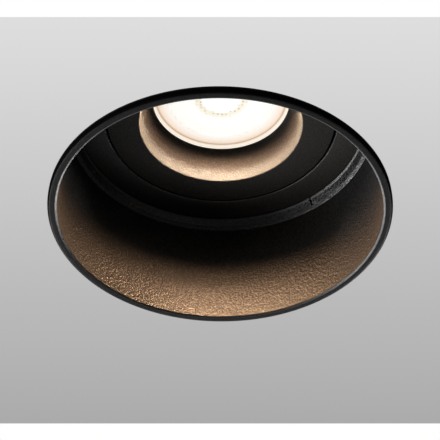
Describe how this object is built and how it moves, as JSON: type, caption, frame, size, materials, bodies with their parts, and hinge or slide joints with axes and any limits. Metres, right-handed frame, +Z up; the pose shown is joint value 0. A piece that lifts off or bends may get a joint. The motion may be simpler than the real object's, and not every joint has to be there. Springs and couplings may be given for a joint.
{
  "type": "recessed soffit downlight",
  "caption": "Round recessed downlight with a deep dark baffle, a swivelling and tilting lamp gimbal, a twist-on lampholder and sprung ceiling clips.",
  "frame": {"origin": "centre of the mouth in the plane of the soffit's underside, which is the top face of the seal behind the lip", "axes": "+Z up into the soffit along the axis of the mouth, light leaves along -Z; +X through the right-hand spring clip and along the gimbal's pivot line; +Y to the side away from the earth terminal"},
  "size_m": [0.1636, 0.1054, 0.1192],
  "materials": {
    "black_coat": "fine textured black powder coat on die-cast aluminium, matt with small highlights",
    "black_steel": "blackened spring steel, satin",
    "foam": "closed-cell black foam",
    "zinc_steel": "bright zinc plate",
    "spring_steel": "drawn spring wire",
    "nylon": "natural nylon",
    "silicone": "pale grey silicone sleeve",
    "cast_aluminium": "bead-blasted casting",
    "lens": "frosted moulded lens, lit warm white",
    "board_white": "white solder mask",
    "board_green": "green solder mask",
    "white_plastic": "moulded heat-proof plastic",
    "ceramic": "unglazed steatite",
    "brass": "bright brass"
  },
  "bodies": {
    "trim": {"trim_ring": "black_coat", "ceiling_gasket": "foam", "carrier_snap_ring": "black_steel", "clip_bracket_right": "zinc_steel", "clip_bracket_left": "zinc_steel", "clip_screw_right_1": "zinc_steel", "clip_screw_right_2": "zinc_steel", "clip_screw_left_1": "zinc_steel", "clip_screw_left_2": "zinc_steel", "clip_pin_right": "zinc_steel", "clip_pin_left": "zinc_steel", "clip_spring_right": "spring_steel", "clip_spring_left": "spring_steel", "earth_washer": "brass", "earth_screw": "brass"},
    "carrier": {"carrier_ring": "black_coat"},
    "gimbal": {"gimbal_ring": "black_coat", "pivot_screw_right": "zinc_steel", "pivot_screw_left": "zinc_steel", "pivot_bush_right": "nylon", "pivot_bush_left": "nylon", "pivot_nut_right": "zinc_steel", "pivot_nut_left": "zinc_steel", "lamp_housing": "cast_aluminium", "lamp_lens": "lens", "led_board": "board_white", "lamp_driver_board": "board_green", "lamp_base": "white_plastic", "lamp_pin_a": "brass", "lamp_pin_b": "brass", "lamp_snap_ring": "spring_steel"},
    "lampholder": {"lampholder_body": "ceramic", "lampholder_cover": "ceramic", "lampholder_contact_a": "brass", "lampholder_contact_b": "brass", "lampholder_rivet_a": "brass", "lampholder_rivet_b": "brass"},
    "clip_right": {"clip_arm_right": "zinc_steel", "clip_pad_right": "silicone"},
    "clip_left": {"clip_arm_left": "zinc_steel", "clip_pad_left": "silicone"}
  },
  "joints": [
    {"name": "carrier_swivel", "type": "hinge", "parent": "trim", "child": "carrier", "pos_m": [0, 0, 0.0398], "axis": [0, 0, 1], "range_deg": [-175, 175]},
    {"name": "gimbal_tilt", "type": "hinge", "parent": "carrier", "child": "gimbal", "pos_m": [0, 0, 0.04512], "axis": [1, 0, 0], "range_deg": [-25, 25]},
    {"name": "lampholder_twist", "type": "hinge", "parent": "gimbal", "child": "lampholder", "pos_m": [0, 0, 0.101], "axis": [0, 0, 1], "range_deg": [0, 27]},
    {"name": "clip_right_swing", "type": "hinge", "parent": "trim", "child": "clip_right", "pos_m": [0.0474, 0, 0.04992], "axis": [0, -1, 0], "range_deg": [0, 147], "stiffness_Nm_per_rad": 0.06, "springref_deg": -51.57, "deforming": ["clip_spring_right"]},
    {"name": "clip_left_swing", "type": "hinge", "parent": "trim", "child": "clip_left", "pos_m": [-0.0474, 0, 0.04992], "axis": [0, 1, 0], "range_deg": [0, 147], "stiffness_Nm_per_rad": 0.06, "springref_deg": -51.57, "deforming": ["clip_spring_left"]}
  ]
}
